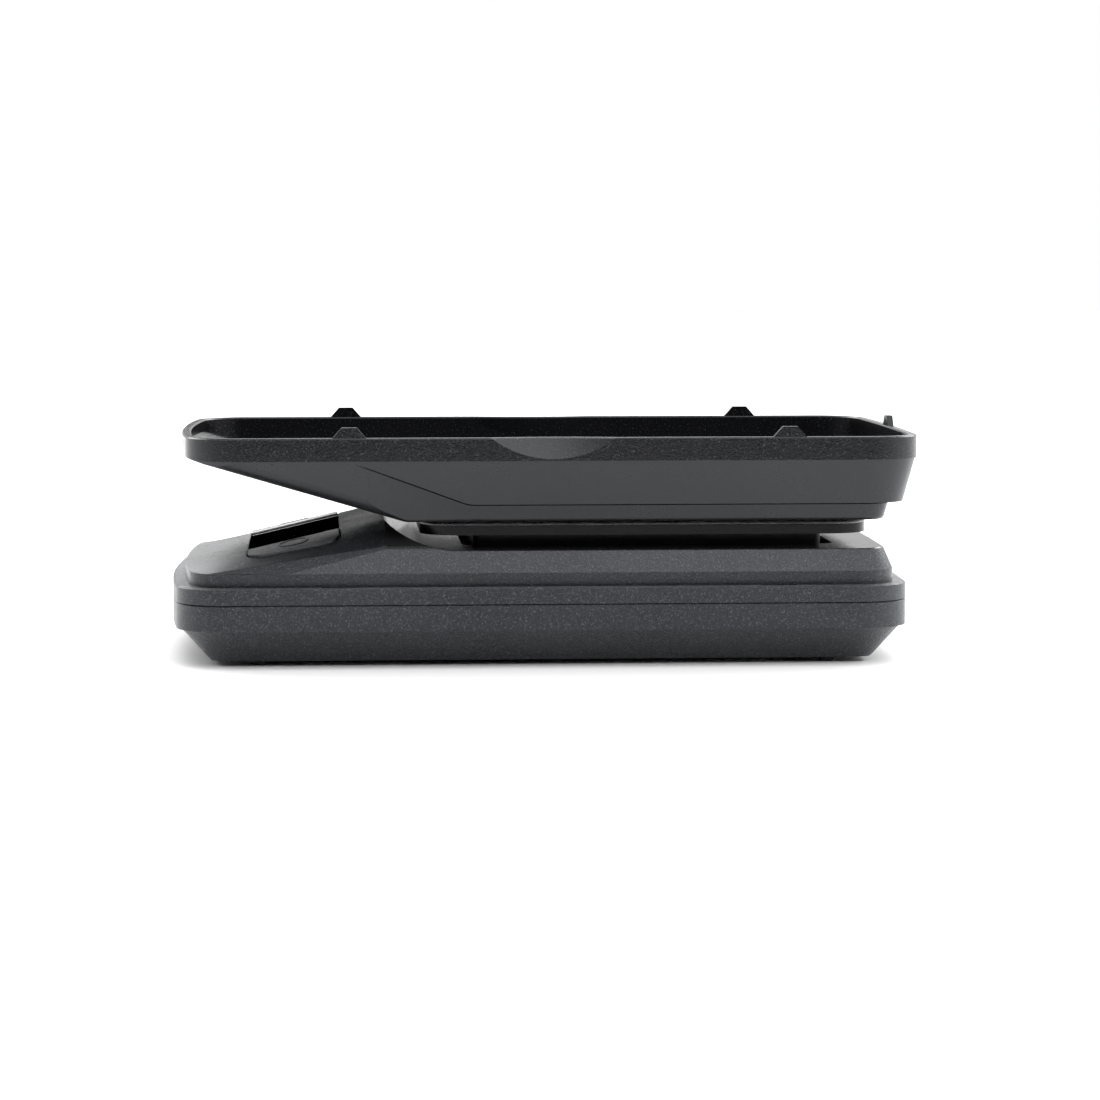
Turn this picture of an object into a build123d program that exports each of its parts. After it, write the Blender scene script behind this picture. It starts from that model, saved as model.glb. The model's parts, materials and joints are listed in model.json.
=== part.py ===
"""Digital gram scale: a pocket scale whose protective cover doubles as a weighing tray.

Frame: +X along the case towards the weighing end, +Z up, origin on the table under the
middle of the whole object. The cover lies upside down on the weighing pan, as in use.
Millimetres throughout. "case x" below means a distance from the case's own middle.
"""

import math
import os

from build123d import *

os.makedirs("parts", exist_ok=True)

# ---------------------------------------------------------------- driving dimensions
# Case
case_length = 130.0
case_width = 76.0
corner_radius = 9.5
least_corner = 1.5
display_end_bow = 2.4
weighing_end_bow = 0.9
wall = 2.4
thin_wall = 1.8
floor = 1.6

# Heights above the table
foot_height = 0.9
bevel_top_z = 6.6
parting_z = 11.2
ledge_z = 14.2
crease_z = 16.4
deck_z = 20.2
crest_z = 24.6
pan_top_z = 25.0

# Case profile
bevel_bottom_inset = 6.0
bevel_top_inset = 0.8
ledge_inset = 2.3
wall_lean = 24.0
panel_length = 37.8
ramp_run = 13.2
panel_slope = 13.1
shoulder_drop = 3.6
shoulder_inset = 4.6
deck_edge_round = 0.35
parting_chamfer = 0.3
ledge_chamfer = 0.35
lip_height = 1.0

# Weighing pan and its carrier
pan_overhang = 7.0
pan_end_margin = 7.0
pan_side_margin = 8.0
pan_height = 2.5
pan_sheet = 0.6
pan_corner = 7.0
pan_edge_round = 0.9
tape_thickness = 0.3
carrier_plate = 1.2
well_start_margin = 0.5
well_end_margin = 5.5
well_side_margin = 6.5
well_depth = 3.0
well_clearance = 2.0

# Display, keys and circuit board
window_from_end = 21.8
lens_length = 16.6
lens_width = 34.4
lens_thickness = 0.8
lcd_thickness = 1.8
backlight_thickness = 1.2
board_thickness = 0.8
board_length = 21.0
board_edge = 4.0
board_screw_radius = 0.85
board_screw_head_radius = 1.6
board_screw_head_height = 1.1
board_screw_reach = 2.5
board_boss_radius = 1.8
glob_radius = 4.0
glob_height = 1.2
glob_round = 0.9
component_length = 2.0
component_width = 1.2
component_height = 0.8
crystal_length = 6.0
crystal_width = 2.4
crystal_height = 1.8
crystal_round = 1.1
key_length = 16.4
key_width = 10.6
key_corner = 3.6
key_proud = 0.35
key_bevel = 2.0
key_bevel_drop = 0.25
key_ring = 2.8
key_ring_line = 0.45
key_ring_proud = 0.1
switch_body = 4.6
switch_height = 1.5
plunger_radius = 1.0

# Load cell
cell_length = 47.0
cell_width = 12.0
cell_height = 6.0
cell_bottom_z = 6.0
cell_hole_spacing = 6.0
cell_hole_end = 3.0
cell_slot_length = 14.0
cell_slot_height = 4.8
gauge_length = 6.0
gauge_width = 5.0
gauge_offset = 4.6
gauge_thickness = 0.12
sealant_length = 17.0
sealant_width = 8.0
sealant_height = 0.7
overload_gap = 0.4

# Batteries and door
battery_radius = 5.25
battery_length = 44.5
battery_nub = 0.8
battery_nub_radius = 1.9
battery_edge_round = 0.5
battery_spacing = 0.5
battery_from_end = 16.0
door_tongue = 1.0
grip_spacing = 2.0
grip_groove = 0.8
grip_width = 14.0
grip_depth = 0.5
contact_sheet = 0.4
contact_width = 7.0
contact_bow = 2.0
lead_radius = 0.35

# Protective cover, upside down
cover_shift = 1.8
cover_wall = 1.6
cover_depth = 14.9
cover_band = 4.0
cover_rim_chamfer = 0.25
cover_tier = 3.2
cover_slope = 16.6
cover_slope_from_end = 39.6
cover_side_round = 3.0
slope_blend = 8.0
draft_top_inset = 0.25
draft_bottom_inset = 3.3
tier_bottom_inset = 5.6
tier_flare_width = 4.7
tier_flare = 39.0
tier_flare_end = 12.4
tier_bend_round = 25.0
tier_edge_round = 0.8
step_foot = 10.9
step_head = 6.8
step_head_below_band = 1.0
groove_blend = 6.0
step_slot = 0.35
step_slot_depth = 0.6
tab_base = 5.8
tab_top = 2.6
tab_height = 1.8
tab_thickness = 1.1
tab_inset = 0.3
tab_root = 1.0
tab_left_from_end = 29.8
tab_right_from_end = 24.0
scoop_width = 21.8
scoop_drop = 3.7
scoop_ball = 40.0
scoop_wall = 1.5

# Fasteners and feet
foot_left_from_end = 16.0
foot_right_from_end = 14.5
foot_from_side = 9.0
foot_radius = 1.3
plug_radius = 2.4
plug_height = 1.0
foot_chamfer = 0.2
case_screw_past_crest = 1.7
case_screw_from_end = 27.0
case_screw_from_side = 9.0
case_screw_length = 12.0
screw_radius = 1.2
screw_head_radius = 2.3
screw_head_height = 1.6
boss_radius = 3.0

# Clearances
screw_play = 0.15
thread_play = 0.05
head_play = 0.2
screw_tip_gap = 1.0
key_gap = 0.3
rest_gap = 0.05
fit_gap = 0.1

# ---------------------------------------------------------------- places worked out
case_x = -cover_shift / 2
cover_x = cover_shift / 2
lean = math.tan(math.radians(wall_lean))
slope = math.tan(math.radians(panel_slope))
case_left_x = -case_length / 2
case_right_x = case_length / 2
cover_length = case_length
cover_width = case_width
crest_x = case_left_x + panel_length
deck_start_x = crest_x + ramp_run
window_x = case_left_x + window_from_end
panel_flat_half = lens_width / 2 + 0.8
pan_length = case_right_x - pan_end_margin - (deck_start_x - pan_overhang)
pan_width = case_width - 2 * pan_side_margin
pan_x = case_right_x - pan_end_margin - pan_length / 2
well_length = pan_length - pan_overhang - well_start_margin - well_end_margin
well_width = pan_width - 2 * well_side_margin
well_x = deck_start_x + well_start_margin + well_length / 2
battery_x = case_left_x + battery_from_end
battery_pitch = 2 * battery_radius + battery_spacing
tab_left_x = case_left_x + tab_left_from_end
tab_right_x = case_right_x - tab_right_from_end
foot_y = case_width / 2 - foot_from_side
case_screw_y = case_width / 2 - case_screw_from_side
rim_z = pan_top_z + rest_gap + cover_depth
cover_bottom_z = pan_top_z + rest_gap
pan_bottom_z = pan_top_z - pan_height


def case_level(height):
    """Level plane at a height, with its origin on the case's middle."""
    return Plane((case_x, 0, height))


def cover_level(height):
    """Level plane at a height, with its origin on the cover's middle."""
    return Plane((cover_x, 0, height))


def panel_height(x):
    """Height of the sloping control panel at a case x."""
    return crest_z + (x - crest_x) * slope


panel_plane = Plane(
    origin=(case_x + window_x, 0, panel_height(window_x)),
    x_dir=(1, 0, slope),
    z_dir=(-slope, 0, 1),
)


def rounded_plan(length, width, inset, mode):
    """Plan outline with bowed ends and round corners, drawn in by inset on every side."""
    half_length = length / 2 - inset
    half_width = width / 2 - inset
    shrink = (half_width / (width / 2)) ** 2
    left_x = -half_length + display_end_bow * shrink
    right_x = half_length - weighing_end_bow * shrink
    with BuildSketch(mode=Mode.PRIVATE) as plan:
        with BuildLine():
            ThreePointArc((left_x, half_width), (-half_length, 0), (left_x, -half_width))
            Line((left_x, -half_width), (right_x, -half_width))
            ThreePointArc((right_x, -half_width), (half_length, 0), (right_x, half_width))
            Line((right_x, half_width), (left_x, half_width))
        make_face()
        fillet(plan.vertices(), max(corner_radius - inset, least_corner))
    add(plan.sketch, mode=mode)


def case_plan(inset, mode=Mode.ADD):
    """The case's outline seen from above."""
    rounded_plan(case_length, case_width, inset, mode)


def cover_plan(inset, mode=Mode.ADD):
    """The cover's outline seen from above."""
    rounded_plan(cover_length, cover_width, inset, mode)


def panel_section(top, half_width, drop, base):
    """Cross-section of the body under the panel: flat top, rolled shoulders, slanting sides."""
    with BuildLine() as outline:
        Line((-panel_flat_half, top), (panel_flat_half, top))
        right = TangentArc((panel_flat_half, top), (half_width, top - drop), tangent=(1, 0))
        foot_y_right = half_width + (top - drop - base) * 0.9
        Line(right @ 1, (foot_y_right, base))
        Line((foot_y_right, base), (-foot_y_right, base))
        Line((-foot_y_right, base), (-half_width, top - drop))
        TangentArc((-panel_flat_half, top), (-half_width, top - drop), tangent=(-1, 0))
    make_face(outline.edges())


def section_plane(x):
    """Upright plane across the case at a case x: its own x is the case's Y, its own y is Z."""
    return Plane(origin=(case_x + x, 0, 0), x_dir=(0, 1, 0), z_dir=(1, 0, 0))


def side_plane(x):
    """Upright plane along the object: its own x is X measured from x, its own y is Z."""
    return Plane(origin=(x, 0, 0), x_dir=(1, 0, 0), z_dir=(0, -1, 0))


def upper_form(shrink, top_extra=0.0):
    """The body above the ledge as one solid, every face drawn in by shrink."""
    base = parting_z
    low_x = -case_length / 2 - 2
    half_width = case_width / 2 - shoulder_inset - shrink
    low_top = panel_height(low_x) - shrink + top_extra
    high_top = crest_z - shrink + top_extra
    lift = crest_z + 3 - crease_z
    with BuildPart() as envelope:
        with BuildSketch(case_level(crease_z)):
            case_plan(ledge_inset + shrink)
        with BuildSketch(case_level(crease_z + lift)):
            case_plan(ledge_inset + shrink + lift * lean)
        loft(ruled=True)
    with BuildPart() as dome:
        with BuildSketch(section_plane(low_x)):
            panel_section(low_top, half_width + 1.0, 0.3, base)
        with BuildSketch(section_plane(crest_x)):
            panel_section(high_top, half_width, shoulder_drop, base)
        loft(ruled=True)
        with BuildSketch(section_plane(crest_x)):
            panel_section(high_top, half_width, shoulder_drop, base)
        extrude(amount=case_length)
    deck = deck_z - shrink + top_extra
    with BuildPart() as form:
        add(envelope.part)
        add(dome.part, mode=Mode.INTERSECT)
        with BuildSketch(side_plane(case_x)):
            with BuildLine() as recess:
                ramp = RadiusArc((crest_x - shrink, high_top), (deck_start_x, deck), -recess_radius(shrink))
                Line(ramp @ 1, (case_length, deck))
                Line((case_length, deck), (case_length, crest_z + 10))
                Line((case_length, crest_z + 10), (crest_x - shrink, crest_z + 10))
                Line((crest_x - shrink, crest_z + 10), ramp @ 0)
            make_face(recess.edges())
        extrude(amount=case_width, both=True, mode=Mode.SUBTRACT)
        deck_edges = form.edges().filter_by_position(Axis.Z, deck - 0.01, deck + 0.01)
        far_edges = deck_edges.filter_by_position(Axis.X, case_x + deck_start_x + 1, case_length)
        fillet(far_edges, deck_edge_round)
    return form.part


def recess_radius(shrink):
    """Radius of the ramp from the crest down to the deck, tangent to the deck."""
    run = deck_start_x - crest_x + shrink
    fall = crest_z - deck_z
    return (run**2 + fall**2) / (2 * fall)


def tapered_case(bottom_inset, bottom_z, top_inset, top_z):
    """A stretch of the case whose outline runs evenly from one inset to another."""
    with BuildPart() as form:
        with BuildSketch(case_level(bottom_z)):
            case_plan(bottom_inset)
        with BuildSketch(case_level(top_z)):
            case_plan(top_inset)
        loft(ruled=True)
    return form.part


def case_stretch(inset, bottom_z, top_z):
    """An upright stretch of the case's outline."""
    with BuildPart() as form:
        with BuildSketch(case_level(bottom_z)):
            case_plan(inset)
        extrude(amount=top_z - bottom_z)
    return form.part


# ---------------------------------------------------------------- bottom shell
floor_z = foot_height + floor
counterbore_z = foot_height + 2.4
case_screw_xs = (crest_x + case_screw_past_crest, case_right_x - case_screw_from_end)
case_screw_places = [(x, side * case_screw_y) for x in case_screw_xs for side in (-1, 1)]
foot_xs = (case_left_x + foot_left_from_end, case_right_x - foot_right_from_end)
foot_places = [(x, side * foot_y) for x in foot_xs for side in (-1, 1)]
fixed_end_x = pan_x + cell_length / 2 - cell_hole_end - cell_hole_spacing / 2
free_end_x = pan_x - cell_length / 2 + cell_hole_end + cell_hole_spacing / 2
cell_top_z = cell_bottom_z + cell_height
battery_z = floor_z + 0.25 + battery_radius
bay_half_width = battery_length / 2 + 2.4
bay_wall = 1.4
bay_right_x = battery_x + battery_pitch / 2 + battery_radius + 1.0
bay_left_x = battery_x - battery_pitch / 2 - battery_radius
bay_start_x = bay_left_x + 2.8
bay_middle_x = (bay_start_x + bay_right_x) / 2
door_right_x = bay_right_x - 0.8
door_half_width = bay_half_width - 1.4
door_cut_left = case_left_x - 1
tongue_z = foot_height + 0.7
bottom_outer = tapered_case(bevel_bottom_inset, foot_height, bevel_top_inset, bevel_top_z)
bottom_hollow = tapered_case(bevel_bottom_inset + 0.5, floor_z, wall, bevel_top_z)

with BuildPart() as bottom_shell:
    add(bottom_outer)
    with BuildSketch(case_level(bevel_top_z)):
        case_plan(0)
    extrude(amount=parting_z - bevel_top_z)
    chamfer(bottom_shell.faces().sort_by(Axis.Z)[-1].outer_wire().edges(), parting_chamfer)
    add(bottom_hollow, mode=Mode.SUBTRACT)
    with BuildSketch(case_level(bevel_top_z)):
        case_plan(wall)
    extrude(amount=parting_z - bevel_top_z, mode=Mode.SUBTRACT)
    with BuildSketch(case_level(parting_z - 2 * lip_height)):
        case_plan(wall - 0.3)
        case_plan(wall + lip_height, Mode.SUBTRACT)
    extrude(amount=2 * lip_height - fit_gap)
    with BuildSketch(case_level(parting_z - lip_height)):
        case_plan(wall + fit_gap)
        case_plan(wall + lip_height, Mode.SUBTRACT)
    extrude(amount=2 * lip_height)
    # Screw bosses, load cell pedestal and overload stop
    with BuildSketch(case_level(floor_z - 0.5)):
        with Locations(*case_screw_places):
            Circle(boss_radius)
    extrude(amount=parting_z - floor_z + 0.5 - fit_gap)
    with BuildSketch(case_level(floor_z - 0.5)):
        with Locations((fixed_end_x, 0)):
            Rectangle(cell_hole_spacing + 2 * cell_hole_end, cell_width + 2)
    extrude(amount=cell_bottom_z - floor_z + 0.5)
    with BuildSketch(case_level(floor_z - 0.5)):
        with Locations((free_end_x, 0)):
            Circle(boss_radius)
    extrude(amount=cell_bottom_z - overload_gap - floor_z + 0.5)
    # Battery bay walls and the rails that hold the door
    with BuildSketch(case_level(floor_z - 0.5)):
        with Locations((bay_right_x + bay_wall / 2, 0)):
            Rectangle(bay_wall, 2 * bay_half_width + 2 * bay_wall)
        for side in (-1, 1):
            with Locations((bay_middle_x, side * (bay_half_width + bay_wall / 2))):
                Rectangle(bay_right_x - bay_start_x, bay_wall)
    extrude(amount=battery_z + 2.5 - floor_z)
    with BuildSketch(case_level(floor_z - 0.5)):
        for side in (-1, 1):
            with Locations((bay_middle_x, side * (bay_half_width - 0.6))):
                Rectangle(bay_right_x - bay_start_x, 1.4)
    extrude(amount=1.3)
    # Door opening, its tongue grooves, screw holes and foot sockets
    with BuildSketch(case_level(0)):
        with Locations(((door_cut_left + door_right_x + fit_gap) / 2, 0)):
            Rectangle(door_right_x + fit_gap - door_cut_left, 2 * (door_half_width + fit_gap))
    extrude(amount=floor_z + fit_gap, mode=Mode.SUBTRACT)
    with BuildSketch(case_level(tongue_z - fit_gap)):
        with Locations(((door_cut_left + door_right_x + fit_gap) / 2, 0)):
            Rectangle(
                door_right_x + fit_gap - door_cut_left,
                2 * (door_half_width + door_tongue + fit_gap),
            )
    extrude(amount=floor_z - tongue_z + 2 * fit_gap, mode=Mode.SUBTRACT)
    with BuildSketch(case_level(0)):
        with Locations(*case_screw_places):
            Circle(screw_radius + screw_play)
    extrude(amount=parting_z, mode=Mode.SUBTRACT)
    with BuildSketch(case_level(0)):
        for offset_x in (-cell_hole_spacing / 2, cell_hole_spacing / 2):
            with Locations((fixed_end_x + offset_x, 0)):
                Circle(screw_radius + screw_play)
    extrude(amount=cell_bottom_z, mode=Mode.SUBTRACT)
    with BuildSketch(case_level(0)):
        with Locations(*case_screw_places):
            Circle(screw_head_radius + head_play)
        for offset_x in (-cell_hole_spacing / 2, cell_hole_spacing / 2):
            with Locations((fixed_end_x + offset_x, 0)):
                Circle(screw_head_radius + head_play)
    extrude(amount=counterbore_z, mode=Mode.SUBTRACT)
    with BuildSketch(case_level(0)):
        with Locations(*foot_places):
            Circle(plug_radius + fit_gap)
    extrude(amount=foot_height + plug_height, mode=Mode.SUBTRACT)
bottom_shell.part.label = "bottom_shell"
export_step(bottom_shell.part, "parts/bottom_shell.step")

# ---------------------------------------------------------------- top shell
well_floor_z = deck_z - well_depth
hub_length = cell_hole_spacing + 2 * cell_hole_end + 1.0
hub_width = cell_width + 2.0
key_inner_y = lens_width / 2 + 0.8
switch_y = key_inner_y + key_width / 2
lens_recess = 0.1
lcd_top = thin_wall + 0.15
backlight_top = lcd_top + lcd_thickness + fit_gap
board_top = backlight_top + backlight_thickness + fit_gap
board_offset = board_length / 2 - lens_length / 2 - 0.1
board_screw_u = board_offset + board_length / 2 - 2.2
board_screw_outer = switch_y + 2.8
board_screw_vs = (-board_screw_outer, -10.0, 10.0, board_screw_outer)
board_width = 2 * (board_screw_outer + board_edge)
case_band = case_stretch(0, parting_z, ledge_z)
case_neck = case_stretch(ledge_inset, ledge_z, crease_z)
upper_solid = upper_form(0)
upper_hollow = upper_form(thin_wall)


def key_outline(side, grow, mode=Mode.ADD):
    """Key beside the display: square corners by the lens, wide round corners at the outside."""
    with BuildSketch(mode=Mode.PRIVATE) as key:
        with Locations((0, side * (key_inner_y + key_width / 2))):
            Rectangle(key_length, key_width)
        corners = key.vertices().sort_by(Axis.Y)
        fillet(corners[-2:] if side == 1 else corners[:2], key_corner)
        if grow:
            offset(amount=grow, kind=Kind.INTERSECTION)
    add(key.sketch, mode=mode)


with BuildPart() as screw_posts:
    add(case_band)
    add(case_neck)
    add(upper_solid)
    with BuildSketch(case_level(parting_z + fit_gap)):
        with Locations(*case_screw_places):
            Circle(boss_radius)
    extrude(amount=crest_z - parting_z, mode=Mode.INTERSECT)

with BuildPart() as top_shell:
    add(case_band)
    chamfer(top_shell.faces().sort_by(Axis.Z)[-1].outer_wire().edges(), ledge_chamfer)
    add(case_neck)
    add(upper_solid)
    add(case_stretch(wall, parting_z, parting_z + lip_height + 0.3), mode=Mode.SUBTRACT)
    add(case_stretch(ledge_inset + thin_wall, parting_z, crease_z), mode=Mode.SUBTRACT)
    add(upper_hollow, mode=Mode.SUBTRACT)
    add(screw_posts.part)
    # Sunken well in the deck, under the pan
    with BuildSketch(case_level(well_floor_z - floor)):
        with Locations((well_x, 0)):
            RectangleRounded(well_length + 2 * floor, well_width + 2 * floor, 3.0)
    extrude(amount=well_depth + floor - 0.5)
    with BuildSketch(case_level(well_floor_z)):
        with Locations((well_x, 0)):
            RectangleRounded(well_length, well_width, 1.5)
    extrude(amount=well_depth + 1, mode=Mode.SUBTRACT)
    with BuildSketch(case_level(well_floor_z - floor)):
        with Locations((free_end_x, 0)):
            Rectangle(hub_length + 2 * well_clearance, hub_width + 2 * well_clearance)
    extrude(amount=floor, mode=Mode.SUBTRACT)
    # Display window with its lens seat, and the two key openings
    with BuildSketch(panel_plane.offset(-lens_recess - lens_thickness)):
        RectangleRounded(lens_length + 2 * fit_gap, lens_width + 2 * fit_gap, 0.6)
    extrude(amount=thin_wall, mode=Mode.SUBTRACT)
    with BuildSketch(panel_plane.offset(-2 * thin_wall)):
        RectangleRounded(lens_length - 3.2, lens_width - 5.4, 0.8)
    extrude(amount=2 * thin_wall, mode=Mode.SUBTRACT)
    with BuildSketch(panel_plane.offset(-2.4 * thin_wall)):
        for side in (-1, 1):
            key_outline(side, key_gap)
    extrude(amount=4 * thin_wall, mode=Mode.SUBTRACT)
    # Bosses that the circuit board screws into
    with BuildSketch(panel_plane.offset(-board_top)):
        for board_screw_v in board_screw_vs:
            with Locations((board_screw_u, board_screw_v)):
                Circle(board_boss_radius)
    extrude(amount=board_top - 0.8 * thin_wall)
    with BuildSketch(panel_plane.offset(-board_top)):
        for board_screw_v in board_screw_vs:
            with Locations((board_screw_u, board_screw_v)):
                Circle(board_screw_radius + thread_play)
    extrude(amount=board_top - 1.3 * thin_wall, mode=Mode.SUBTRACT)
    # Pilot holes for the case screws
    with BuildSketch(case_level(parting_z)):
        with Locations(*case_screw_places):
            Circle(screw_radius + thread_play)
    extrude(amount=deck_z - parting_z - 3.2, mode=Mode.SUBTRACT)
    # Slots in the ledge that take the cover's tabs when it is closed
    with BuildSketch(case_level(ledge_z)):
        for tab_x in (tab_left_x, tab_right_x):
            for side in (-1, 1):
                with Locations((tab_x, side * (case_width / 2 - tab_inset - tab_thickness / 2 - fit_gap))):
                    Rectangle(tab_base + 0.4, tab_thickness + 2 * fit_gap)
        with Locations((case_length / 2 - tab_inset - tab_thickness / 2 - fit_gap, 0)):
            Rectangle(tab_thickness + 2 * fit_gap, tab_base + 0.4)
    extrude(amount=-tab_height - fit_gap, mode=Mode.SUBTRACT)
top_shell.part.label = "top_shell"
export_step(top_shell.part, "parts/top_shell.step")

# ---------------------------------------------------------------- keys and switches
key_solid = upper_form(-key_proud)
key_floor = thin_wall + 0.8
flange_thickness = 0.6
key_flange_width = 6.6
key_flange_side = 0.7
key_flange_reach = 0.4
switch_top = board_top - switch_height
plunger_top = key_floor + flange_thickness

key_section = Plane(origin=panel_plane.origin, x_dir=(0, 1, 0), z_dir=panel_plane.x_dir)
key_ring_solid = upper_form(-key_proud - key_ring_proud)

for side, name in ((-1, "power"), (1, "tare")):
    with BuildPart() as key_ring_part:
        with BuildSketch(panel_plane.offset(-thin_wall)):
            with Locations((0, side * switch_y)):
                Circle(key_ring)
                Circle(key_ring - key_ring_line, mode=Mode.SUBTRACT)
        extrude(amount=3 * thin_wall)
        add(key_ring_solid, mode=Mode.INTERSECT)
    with BuildPart() as key_cap:
        with BuildSketch(panel_plane.offset(-key_floor)):
            key_outline(side, 0)
        extrude(amount=3 * thin_wall)
        add(key_solid, mode=Mode.INTERSECT)
        # Long bevel down to the lens
        with BuildSketch(key_section):
            with BuildLine():
                Polyline(
                    (side * (key_inner_y + key_bevel), key_proud),
                    (side * (key_inner_y - key_bevel), key_proud - 2 * key_bevel_drop),
                    (side * (key_inner_y - key_bevel), key_proud + 1),
                    (side * (key_inner_y + key_bevel), key_proud + 1),
                    close=True,
                )
            make_face()
        extrude(amount=key_length, both=True, mode=Mode.SUBTRACT)
        with BuildSketch(panel_plane.offset(-plunger_top)):
            with Locations((0, side * (key_inner_y + key_flange_width / 2 - key_flange_reach))):
                Rectangle(key_length + 2 * key_flange_side, key_flange_width)
        extrude(amount=flange_thickness + 0.01)
        # Raised ring around the finger spot
        add(key_ring_part.part)
    key_cap.part.label = name + "_key"
    export_step(key_cap.part, "parts/" + name + "_key.step")

    with BuildPart() as switch_housing:
        with BuildSketch(panel_plane.offset(-board_top)):
            with Locations((0, side * switch_y)):
                RectangleRounded(switch_body, switch_body, 0.4)
        extrude(amount=switch_height)
        with BuildSketch(panel_plane.offset(-switch_top)):
            with Locations((0, side * switch_y)):
                Circle(plunger_radius + fit_gap)
        extrude(amount=-1.1, mode=Mode.SUBTRACT)
    switch_housing.part.label = "tact_switch_" + name
    export_step(switch_housing.part, "parts/tact_switch_" + name + ".step")

    with BuildPart() as plunger:
        with BuildSketch(panel_plane.offset(-switch_top - 0.6)):
            with Locations((0, side * switch_y)):
                Circle(plunger_radius)
        extrude(amount=switch_top + 0.6 - plunger_top)
    plunger.part.label = "switch_plunger_" + name
    export_step(plunger.part, "parts/switch_plunger_" + name + ".step")

# ---------------------------------------------------------------- display and board
with BuildPart() as lcd_lens:
    with BuildSketch(panel_plane.offset(-lens_recess - lens_thickness)):
        RectangleRounded(lens_length, lens_width, 0.5)
    extrude(amount=lens_thickness)
lcd_lens.part.label = "lcd_lens"
export_step(lcd_lens.part, "parts/lcd_lens.step")

with BuildPart() as lcd_panel:
    with BuildSketch(panel_plane.offset(-lcd_top - lcd_thickness)):
        Rectangle(lens_length, lens_width - 2.0)
    extrude(amount=lcd_thickness)
lcd_panel.part.label = "lcd_panel"
export_step(lcd_panel.part, "parts/lcd_panel.step")

zebra_width = 1.4
zebra_u = -lens_length / 2 + zebra_width / 2 + 0.2
backlight_length = lens_length - zebra_width - 0.6

with BuildPart() as lcd_backlight:
    with BuildSketch(panel_plane.offset(-backlight_top - backlight_thickness)):
        with Locations(((lens_length - backlight_length) / 2, 0)):
            Rectangle(backlight_length, lens_width - 2.4)
    extrude(amount=backlight_thickness)
lcd_backlight.part.label = "lcd_backlight"
export_step(lcd_backlight.part, "parts/lcd_backlight.step")

with BuildPart() as zebra_strip:
    with BuildSketch(panel_plane.offset(-board_top)):
        with Locations((zebra_u, 0)):
            Rectangle(zebra_width, lens_width - 4.0)
    extrude(amount=board_top - lcd_top - lcd_thickness)
zebra_strip.part.label = "zebra_strip"
export_step(zebra_strip.part, "parts/zebra_strip.step")

with BuildPart() as main_board:
    with BuildSketch(panel_plane.offset(-board_top - board_thickness)):
        with Locations((board_offset, 0)):
            Rectangle(board_length, board_width)
        for board_screw_v in board_screw_vs:
            with Locations((board_screw_u, board_screw_v)):
                Circle(board_screw_radius + screw_play, mode=Mode.SUBTRACT)
    extrude(amount=board_thickness)
main_board.part.label = "main_board"
export_step(main_board.part, "parts/main_board.step")

# ---------------------------------------------------------------- parts soldered under the board
board_back = board_top + board_thickness

with BuildPart() as chip_glob:
    with BuildSketch(panel_plane.offset(-board_back)):
        with Locations((board_offset + 2.5, 0)):
            Circle(glob_radius)
    extrude(amount=-glob_height)
    fillet(chip_glob.edges().sort_by(Axis.Z)[0], glob_round)
chip_glob.part.label = "chip_glob"
export_step(chip_glob.part, "parts/chip_glob.step")

with BuildPart() as board_parts:
    with BuildSketch(panel_plane.offset(-board_back)):
        for part_v in (-17.0, -14.0, 7.5, 14.0, 17.0):
            with Locations((board_offset + 3.0, part_v)):
                Rectangle(component_length, component_width)
    extrude(amount=-component_height)
board_parts.part.label = "board_components"
export_step(board_parts.part, "parts/board_components.step")

with BuildPart() as crystal_can:
    with BuildSketch(panel_plane.offset(-board_back)):
        with Locations((board_offset + 3.0, -8.5)):
            RectangleRounded(crystal_length, crystal_width, crystal_round)
    extrude(amount=-crystal_height)
crystal_can.part.label = "crystal_can"
export_step(crystal_can.part, "parts/crystal_can.step")

with BuildPart() as board_screws:
    with BuildSketch(panel_plane.offset(-board_back)):
        for board_screw_v in board_screw_vs:
            with Locations((board_screw_u, board_screw_v)):
                Circle(board_screw_head_radius)
    extrude(amount=-board_screw_head_height)
    with BuildSketch(panel_plane.offset(-board_back)):
        for board_screw_v in board_screw_vs:
            with Locations((board_screw_u, board_screw_v)):
                Circle(board_screw_radius)
    extrude(amount=board_thickness + board_screw_reach)
board_screws.part.label = "board_screws"
export_step(board_screws.part, "parts/board_screws.step")

# ---------------------------------------------------------------- load cell
with BuildPart() as load_cell:
    with BuildSketch(case_level(cell_bottom_z)):
        with Locations((pan_x, 0)):
            Rectangle(cell_length, cell_width)
    extrude(amount=cell_height)
    with BuildSketch(side_plane(case_x)):
        with Locations((pan_x, cell_bottom_z + cell_height / 2)):
            SlotOverall(cell_slot_length, cell_slot_height)
    extrude(amount=cell_width, both=True, mode=Mode.SUBTRACT)
    with BuildSketch(case_level(cell_bottom_z)):
        for end_x in (fixed_end_x, free_end_x):
            for offset_x in (-cell_hole_spacing / 2, cell_hole_spacing / 2):
                with Locations((end_x + offset_x, 0)):
                    Circle(screw_radius + thread_play)
    extrude(amount=cell_height, mode=Mode.SUBTRACT)
load_cell.part.label = "load_cell"
export_step(load_cell.part, "parts/load_cell.step")

with BuildPart() as strain_gauges:
    with BuildSketch(case_level(cell_top_z)):
        for offset_x in (-gauge_offset, gauge_offset):
            with Locations((pan_x + offset_x, 0)):
                Rectangle(gauge_length, gauge_width)
    extrude(amount=gauge_thickness)
    with BuildSketch(case_level(cell_bottom_z)):
        for offset_x in (-gauge_offset, gauge_offset):
            with Locations((pan_x + offset_x, 0)):
                Rectangle(gauge_length, gauge_width)
    extrude(amount=-gauge_thickness)
strain_gauges.part.label = "strain_gauges"
export_step(strain_gauges.part, "parts/strain_gauges.step")

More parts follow.
